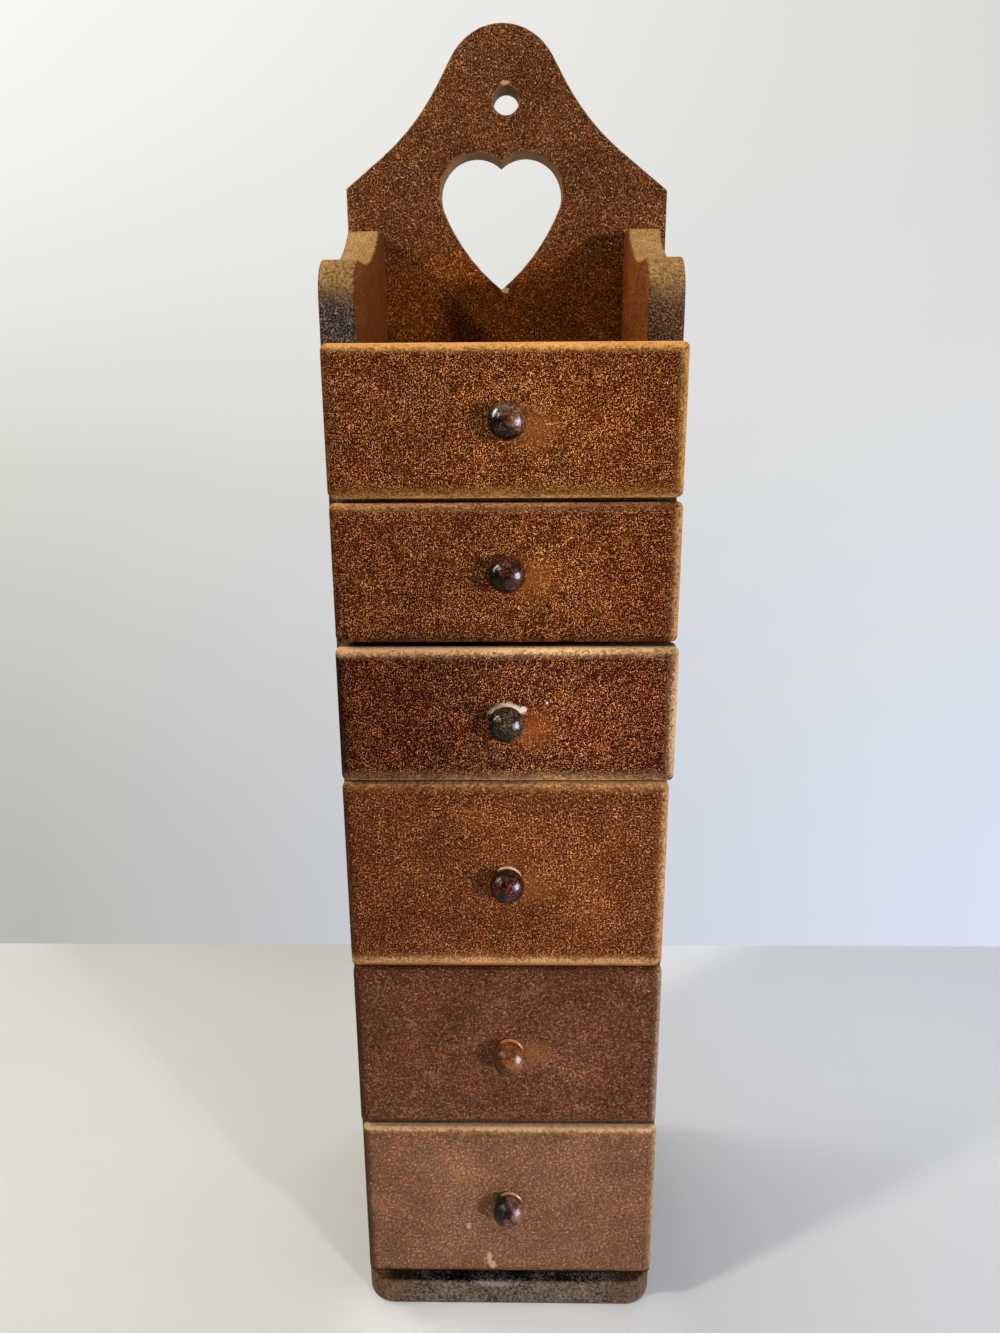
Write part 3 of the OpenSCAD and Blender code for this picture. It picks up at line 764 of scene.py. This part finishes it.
def modelKnob(look):
    # a ball in front of the origin, opened at the back and drawn out to foot and tenon
    bpy.ops.object.select_all(action="DESELECT")
    bpy.ops.mesh.primitive_uv_sphere_add(segments=look["segments"], ring_count=look["rings"],
                                         radius=look["ball"], location=(0, look["ball"] - look["reach"], 0),
                                         rotation=(math.radians(90), 0, 0))
    knob = bpy.context.object
    knob.name = "knob_1"
    bpy.ops.object.transform_apply(location=True, rotation=True, scale=True)
    cutY = -look["footThick"] - 0.5 * mm
    pickFaces(knob, lambda face: face.calc_center_median().y > cutY)
    bpy.ops.mesh.delete(type="FACE")
    bpy.ops.mesh.select_mode(type="EDGE")
    bpy.ops.mesh.select_all(action="DESELECT")
    bpy.ops.mesh.select_non_manifold()
    shape = bmesh.from_edit_mesh(knob.data)
    rim = [vert for vert in shape.verts if vert.select]
    radius = sum(math.hypot(vert.co.x, vert.co.z) for vert in rim) / len(rim)
    atY = sum(vert.co.y for vert in rim) / len(rim)
    for nextRadius, nextY in knobProfile(look):
        bpy.ops.mesh.extrude_region_move(TRANSFORM_OT_translate={"value": (0, nextY - atY, 0)})
        scale = nextRadius / radius
        bpy.ops.transform.resize(value=(scale, 1, scale), center_override=(0, nextY, 0))
        radius, atY = nextRadius, nextY
    bpy.ops.mesh.edge_face_add()
    bpy.ops.mesh.select_all(action="SELECT")
    bpy.ops.mesh.remove_doubles(threshold=0.000002)
    bpy.ops.mesh.normals_make_consistent(inside=False)
    backToObject()
    smoothBy(knob, 50)
    return knob


lacquerLook = {
    "patch": {"scale": 240.0, "detail": 3.0, "limits": (0.42, 0.6), "roughness": 0.65},
    "grit": {"scale": 1500.0, "detail": 1.0, "limits": (0.52, 0.68), "roughness": 0.6},
    "wornOrLitAcross": (-5 * mm, 1 * mm), "wornOrLitLevel": (-1.3, 0.25), "fleckShare": (0.15, 0.8),
    "rimFrom": 2.6 * mm, "rimTo": 1.7 * mm, "rimHeight": (2 * mm, 4 * mm),
    "specular": 0.2, "moreRough": 0.12, "bumps": {"scale": 1100.0, "detail": 2.0, "roughness": 0.6},
    "relief": 0.00009, "bumpStrength": 0.8,
}
# dark, bare and fleck are paints, rubbedOrLit says which way along X and Z the lacquer is worn through to
# brown and painted lighter as the light falls from that side, with painted shade on the other side
darkKnob = {"dark": (5, 2, 2), "bare": (92, 50, 32), "fleck": (120, 84, 62), "brown": 0.8, "rim": 0.0,
            "rimWornAndLitPaint": (226, 204, 168), "rubbedOrLit": (0.7, 0.6), "rough": 0.2}
knobTones = {
    1: {**darkKnob, "bare": (104, 64, 38), "fleck": (172, 124, 84)},
    2: {**darkKnob, "bare": (78, 36, 22), "fleck": (128, 84, 62)},
    3: {**darkKnob, "dark": (8, 5, 4), "bare": (58, 42, 30), "fleck": (148, 122, 82), "rim": 1.0},
    4: {**darkKnob, "dark": (14, 6, 5), "bare": (66, 24, 16), "fleck": (136, 84, 62), "rim": 0.9,
        "rubbedOrLit": (0.3, 0.2)},
    5: {**darkKnob, "dark": (60, 26, 12), "bare": (132, 74, 36), "fleck": (178, 120, 74), "brown": 1.0,
        "rim": 0.8, "rimWornAndLitPaint": (206, 136, 74), "rough": 0.26},
    6: {**darkKnob, "dark": (26, 15, 12), "bare": (124, 84, 68), "fleck": (168, 126, 104), "brown": 1.0,
        "rim": 0.7, "rimWornAndLitPaint": (196, 150, 104), "rubbedOrLit": (1.0, -0.2), "rough": 0.3},
}


def knobMaterial(number, look):
    # dark lacquer worn through to brown in patches and, with painted light and shade, paler on the side
    # towards the light; a bare arc with a painted glint on the upper right of the foot
    low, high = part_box(f"drawer_{number}_knob")
    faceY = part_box(f"drawer_{number}_front")[0].y
    material, tree, shader = startMaterial(f"knobLacquer{number}")
    place = objectCoords(tree, (0.2 * number, 0.4, 0.1 * number))
    rightwards = minus(tree, axisOf(tree, "X"), (low.x + high.x) / 2)
    upwards = minus(tree, axisOf(tree, "Z"), (low.z + high.z) / 2)
    wornOrLitX, wornOrLitZ = look["rubbedOrLit"]
    towardsWornOrLit = plus(tree, times(tree, rightwards, wornOrLitX), times(tree, upwards, wornOrLitZ))
    wornOrLitSide = spread(tree, towardsWornOrLit, *lacquerLook["wornOrLitAcross"], *lacquerLook["wornOrLitLevel"])
    patch = plus(tree, speckle(tree, place, **lacquerLook["patch"]), wornOrLitSide, clamp=True)
    colour = blendPaint(tree, times(tree, patch, look["brown"]), paint(*look["dark"]), paint(*look["bare"]))
    grit = speckle(tree, place, **lacquerLook["grit"])
    flecks = times(tree, grit, spread(tree, patch, 0, 1, *lacquerLook["fleckShare"]))
    colour = blendPaint(tree, flecks, colour, paint(*look["fleck"]))
    # a bare rim on the upper right of the foot, painted paler where it also catches the light
    rim = spread(tree, axisOf(tree, "Y"), faceY - lacquerLook["rimFrom"], faceY - lacquerLook["rimTo"])
    upperRight = plus(tree, upwards, times(tree, rightwards, 0.5))
    rim = times(tree, rim, spread(tree, upperRight, *lacquerLook["rimHeight"]))
    colour = blendPaint(tree, times(tree, rim, look["rim"]), colour, paint(*look["rimWornAndLitPaint"]))
    tree.links.new(colour, shader.inputs["Base Color"])
    roughness = spread(tree, grit, 0, 1, look["rough"], look["rough"] + lacquerLook["moreRough"])
    tree.links.new(roughness, shader.inputs["Roughness"])
    shader.inputs["Specular IOR Level"].default_value = lacquerLook["specular"]
    bumps = noise(tree, place, **lacquerLook["bumps"])
    bumpOn(tree, shader, bumps, lacquerLook["relief"], lacquerLook["bumpStrength"])
    return material


knob = modelKnob(knobLook)
for number in drawerNumbers[1:]:
    selectOnly(knob)
    bpy.ops.object.duplicate(linked=False)
    knob = bpy.context.object
    knob.name = f"knob_{number}"

# the two sheen lamps light the knobs alone, not the floor or the fronts
shinyPieces = bpy.data.collections.new("shinyPieces")
for number in drawerNumbers:
    knob = bpy.data.objects[f"knob_{number}"]
    low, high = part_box(f"drawer_{number}_knob")
    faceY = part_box(f"drawer_{number}_front")[0].y
    knob.location = ((low.x + high.x) / 2, faceY, (low.z + high.z) / 2)
    selectOnly(knob)
    bpy.ops.object.transform_apply(location=True, rotation=True, scale=True)
    finishPiece(knob, f"drawer_{number}", knobMaterial(number, knobTones[number]), "knob_lacquer",
                f"drawer_{number}_knob")
    shinyPieces.objects.link(knob)
for lampName in ("leftSheen", "rightSheen"):
    bpy.data.objects[lampName].light_linking.receiver_collection = shinyPieces
print("knobs turned")


# Boards that keep their sawn outline, with their arrises eased

arrisLook = {"sharpest": math.radians(40), "sawnSlope": 0.3, "faceSlope": 0.95, "arrisLevel": 0.55}


def easeBoard(nodeName, name, ease, steps, faceAxis, untilY):
    # a copy of the node, merged, with the arrises in front of untilY softened; the attribute sawn is
    # 1 on its edges and 0 on the faces across faceAxis
    piece = bpy.data.objects.new(name, nodes[nodeName].data.copy())
    scene.collection.objects.link(piece)
    piece.data.materials.clear()
    selectOnly(piece)
    bpy.ops.object.mode_set(mode="EDIT")
    bpy.ops.mesh.select_all(action="SELECT")
    bpy.ops.mesh.remove_doubles(threshold=0.00001)
    bpy.ops.mesh.dissolve_limited(angle_limit=math.radians(0.5))
    backToObject()
    piece.data.normals_split_custom_set([(0, 0, 0)] * len(piece.data.loops))

    def isArris(edge):
        if len(edge.link_faces) != 2 or edge.calc_face_angle(0) < arrisLook["sharpest"]:
            return False
        return all(vert.co.y < untilY for vert in edge.verts)

    pickEdges(piece, isArris)
    bpy.ops.mesh.bevel(offset=ease, segments=steps, profile=0.5, affect="EDGES", clamp_overlap=False)
    backToObject()
    layer = piece.data.attributes.new("sawn", "FLOAT", "CORNER")
    for polygon in piece.data.polygons:
        slope = abs(polygon.normal[faceAxis])
        level = arrisLook["arrisLevel"]
        if slope < arrisLook["sawnSlope"]:
            level = 1.0
        elif slope > arrisLook["faceSlope"]:
            level = 0.0
        for corner in polygon.loop_indices:
            layer.data[corner].value = level
    smoothBy(piece, 40)
    return piece


backY, rearY = (corner.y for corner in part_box("back_board"))
# painted shade: the back board is tinted darker and redder below 476 mm, low in the tray where the cheeks
# shade it
backLook = {**boardLook, "lowerTint": (1.02, 0.76, 0.34), "lowerTintFrom": 476 * mm, "lowerTintTo": 446 * mm}
backMarks = [
    {"centre": (-0.3 * mm, backY, 528.6 * mm), "radii": (2.0 * mm, 3 * mm, 0.8 * mm),
     "ragged": 0.5, "share": 0.8, "paint": (206, 170, 122)},
    {"centre": (-0.7 * mm, backY, 448.4 * mm), "radii": (1.6 * mm, 3 * mm, 1.2 * mm),
     "ragged": 0.4, "share": 0.9, "paint": (222, 190, 140)},
]
backBoard = easeBoard("back_board", "bell_back", ease=0.5 * mm, steps=2, faceAxis=1, untilY=rearY - 2 * mm)
finishPiece(backBoard, "case", boardMaterial("backStain", backLook, backMarks), "stained_board", "back_board")

sideLook = {
    **boardLook, "shift": (0.9, 0.5, 0.2), "tone": (98, 54, 26), "wornOrLitLight": (188, 146, 88),
    "bareness": 0.42, "topBareness": 0.62, "topFrom": 448 * mm, "topTo": 462 * mm,
    # the sides are tinted redder and darker below 474 mm
    "lowerTint": (1.15, 0.9, 0.55), "lowerTintFrom": 474 * mm, "lowerTintTo": 455 * mm,
    "sootFrom": 449 * mm, "sootTo": 434 * mm,
}
sideSoot = {
    "left": [(0.1, (34, 28, 26)), (0.5, (74, 60, 52)), (0.75, (122, 104, 90)), (1.0, (172, 148, 124))],
    "right": [(0.1, (42, 28, 18)), (0.5, (88, 60, 40)), (0.75, (132, 100, 70)), (1.0, (176, 142, 108))],
}
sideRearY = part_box("side_left")[1].y
for side, soot in sideSoot.items():
    sideBoard = easeBoard(f"side_{side}", f"cheek_side_{side}", ease=0.5 * mm, steps=2, faceAxis=0,
                          untilY=sideRearY - 1 * mm)
    sideMaterial = boardMaterial(f"sideStain_{side}", {**sideLook, "soot": soot})
    finishPiece(sideBoard, "case", sideMaterial, "stained_board", f"side_{side}")

baseLook = {
    **boardLook, "shift": (0.4, 0.6, 0.5), "grain": 1000.0, "detail": 3.0,
    "contrast": 0.8, "fibres": 0.3, "mottle": 0.4,
    "dark": (14, 11, 10), "tone": (44, 38, 35), "light": (104, 92, 84), "bright": (160, 146, 134),
    "wornOrLitDark": (48, 37, 30), "wornOrLitLight": (146, 124, 104),
}
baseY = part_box("base_board")[0].y
baseMarks = [
    {"centre": (-5.4 * mm, baseY, 11.6 * mm), "radii": (8 * mm, 2 * mm, 1.3 * mm),
     "ragged": 1.4, "share": 0.6, "paint": (158, 146, 156)},
    {"centre": (-12 * mm, baseY + 5 * mm, 19 * mm), "radii": (30 * mm, 4 * mm, 2 * mm),
     "ragged": 1.4, "share": 0.2, "paint": (120, 104, 92)},
    {"centre": (-60 * mm, baseY, 9 * mm), "radii": (16 * mm, 12 * mm, 10 * mm),
     "ragged": 0.5, "share": 0.45, "paint": (96, 64, 38)},
    {"centre": (60 * mm, baseY, 9 * mm), "radii": (16 * mm, 12 * mm, 10 * mm),
     "ragged": 0.5, "share": 0.45, "paint": (96, 66, 42)},
]
baseBoard = easeBoard("base_board", "round_corner_base", ease=1.2 * mm, steps=4, faceAxis=2,
                      untilY=backY - 1 * mm)
finishPiece(baseBoard, "case", boardMaterial("baseStain", baseLook, baseMarks), "base_stain", "base_board")
print("boards eased")


# Inside boards and nails keep their CAD shapes

rawLook = {
    **boardLook, "shift": (0.2, 0.8, 0.1), "contrast": 0.5, "mottle": 0.06,
    "dark": (96, 66, 40), "tone": (142, 104, 66), "light": (168, 128, 86), "bright": (196, 158, 112),
    "wornOrLitDark": (142, 98, 58), "wornOrLitLight": (196, 152, 98), "rough": 0.65, "sheen": 0.2, "relief": 0.00012,
}
# dark stain and painted shade: the dividers, tray floor and bottom shelf are dark so the gaps between the
# fronts read black
shadedInsideLook = {
    **boardLook, "shift": (0.7, 0.2, 0.9), "contrast": 0.6,
    "dark": (22, 12, 9), "tone": (58, 32, 21), "light": (86, 52, 33), "bright": (120, 78, 50),
}
rawMaterial = boardMaterial("rawBoard", rawLook)
shadedInsideMaterial = boardMaterial("insideStainAndShade", shadedInsideLook)


steelLook = {
    "patches": {"scale": 900.0, "detail": 3.0, "limits": (0.5, 0.65), "roughness": 0.6},
    "clean": paint(120, 116, 112), "rusty": paint(84, 50, 34),
    "metallic": (0.9, 0.2), "rough": (0.35, 0.8), "bumpScale": 1400.0, "relief": 0.00005,
}


def steelMaterial(look):
    material, tree, shader = startMaterial("nailSteel")
    place = objectCoords(tree)
    rust = speckle(tree, place, **look["patches"])
    tree.links.new(blendPaint(tree, rust, look["clean"], look["rusty"]), shader.inputs["Base Color"])
    tree.links.new(spread(tree, rust, 0, 1, *look["metallic"]), shader.inputs["Metallic"])
    tree.links.new(spread(tree, rust, 0, 1, *look["rough"]), shader.inputs["Roughness"])
    bumpOn(tree, shader, noise(tree, place, look["bumpScale"]), look["relief"], 0.5)
    return material


steel = steelMaterial(steelLook)


def dressNode(name, material):
    node = nodes[name]
    node.data.materials.clear()
    node.data.materials.append(material)


for name in nodes:
    if "nails" in name or "brads" in name:
        dressNode(name, steel)
    elif name.startswith("divider") or name in ("tray_floor", "bottom_shelf"):
        dressNode(name, shadedInsideMaterial)
    elif name.endswith(("_side_left", "_side_right", "_back", "_bottom")):
        dressNode(name, rawMaterial)
print("inside boards and nails dressed")
